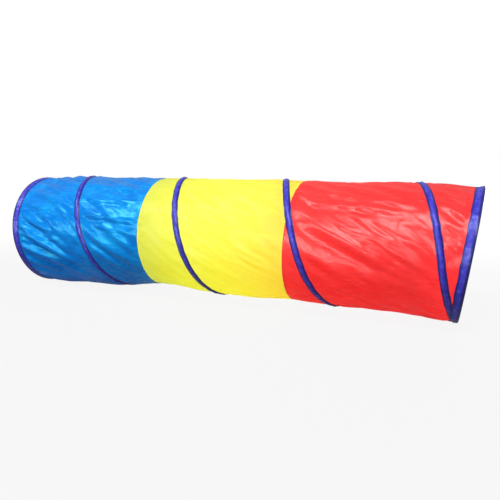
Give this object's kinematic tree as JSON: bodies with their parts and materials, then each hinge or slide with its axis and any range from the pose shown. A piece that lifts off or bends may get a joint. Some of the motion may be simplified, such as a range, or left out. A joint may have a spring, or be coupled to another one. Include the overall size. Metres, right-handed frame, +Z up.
{
  "type": "play tunnel",
  "caption": "Pop-up crawl tunnel for children: a round blue, yellow and red fabric tube held open by a sleeved wire coil and end rings, folding flat along its length.",
  "frame": {"origin": "centre of the bounding box at floor level, under the middle of the tunnel", "axes": "+X along the tunnel from the blue end to the red end, +Z up, -Y the side that the picture shows"},
  "size_m": [1.8711, 0.4722, 0.4815],
  "materials": {
    "spring_steel": "drawn spring wire",
    "crimp_steel": "zinc plated, crimped",
    "violet_tape": "folded polyester tape, soft sheen",
    "blue_polyester": "thin shiny woven polyester",
    "yellow_polyester": "thin shiny woven polyester",
    "red_polyester": "thin shiny woven polyester"
  },
  "bodies": {
    "left_section": {"coil_wire": "spring_steel", "coil_sleeve": "violet_tape", "blue_panel": "blue_polyester"},
    "left_ring": {"left_ring_wire": "spring_steel", "left_ferrule": "crimp_steel", "left_ring_casing": "violet_tape"},
    "middle_section": {"yellow_panel": "yellow_polyester"},
    "right_section": {"red_panel": "red_polyester"},
    "right_ring": {"right_ring_wire": "spring_steel", "right_ferrule": "crimp_steel", "right_ring_casing": "violet_tape"}
  },
  "joints": [
    {"name": "collapse", "type": "slide", "parent": "left_section", "child": "middle_section", "axis": [-1, 0, 0], "range_m": [0, 0.8475], "stiffness_N_per_m": 20, "springref_m": -0.1, "deforming": ["coil_wire", "coil_sleeve", "blue_panel", "yellow_panel"]},
    {"name": "far_collapse", "type": "slide", "parent": "middle_section", "child": "right_section", "axis": [-1, 0, 0], "range_m": [0, 0.8475], "deforming": ["red_panel"]},
    {"name": "left_ring_upright", "type": "hinge", "parent": "left_section", "child": "left_ring", "pos_m": [-0.89656, 0, 0.00395], "axis": [0, 1, 0], "range_deg": [0, 4.3]},
    {"name": "right_ring_upright", "type": "hinge", "parent": "right_section", "child": "right_ring", "pos_m": [0.87344, 0, 0.00395], "axis": [0, -1, 0], "range_deg": [0, 7.16]}
  ],
  "couplings": [
    {"joint": "far_collapse", "follows": "collapse", "ratio": 1},
    {"joint": "left_ring_upright", "follows": "collapse", "rad_per_m": 0.088495},
    {"joint": "right_ring_upright", "follows": "collapse", "rad_per_m": 0.14749}
  ]
}
